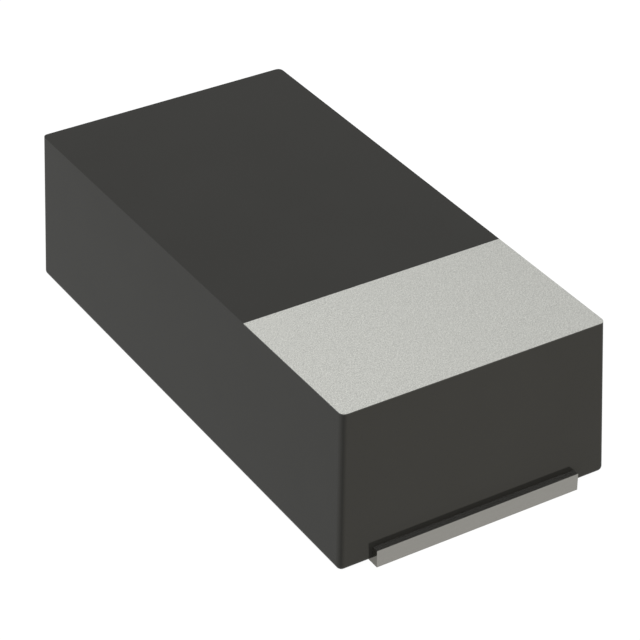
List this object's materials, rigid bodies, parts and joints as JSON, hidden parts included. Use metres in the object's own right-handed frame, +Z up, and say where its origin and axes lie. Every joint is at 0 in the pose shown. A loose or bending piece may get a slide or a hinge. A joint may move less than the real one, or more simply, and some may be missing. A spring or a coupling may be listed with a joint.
{
  "type": "tantalum capacitor",
  "caption": "Moulded black tantalum chip capacitor with a light polarity band on top and flat solder terminals on its underside.",
  "frame": {"origin": "on the board, under the middle of the part, level with the solder faces", "axes": "+X along the length towards the plus end, +Z up out of the board"},
  "size_m": [0.0032, 0.0016, 0.0009],
  "materials": {
    "epoxy_moulding": "fine matt from the mould",
    "light_marking": "fine-grained print",
    "tinned_lead_frame": "matt tin plating",
    "nickel_iron": "bare strip",
    "tantalum_wire": "drawn",
    "fluoropolymer": "punched sheet",
    "sintered_tantalum": "porous, sintered",
    "manganese_dioxide": "dull, grainy",
    "graphite": "dipped and dried",
    "silver_paint": "dipped paint",
    "silver_epoxy": "dispensed paste"
  },
  "bodies": {
    "root": {"molded_case": "epoxy_moulding", "polarity_band": "light_marking", "anode_terminal": "tinned_lead_frame", "cathode_terminal": "tinned_lead_frame", "anode_riser": "nickel_iron", "anode_wire": "tantalum_wire", "insulating_washer": "fluoropolymer", "tantalum_pellet": "sintered_tantalum", "manganese_dioxide_coat": "manganese_dioxide", "graphite_coat": "graphite", "silver_coat": "silver_paint", "silver_adhesive": "silver_epoxy"}
  },
  "joints": []
}
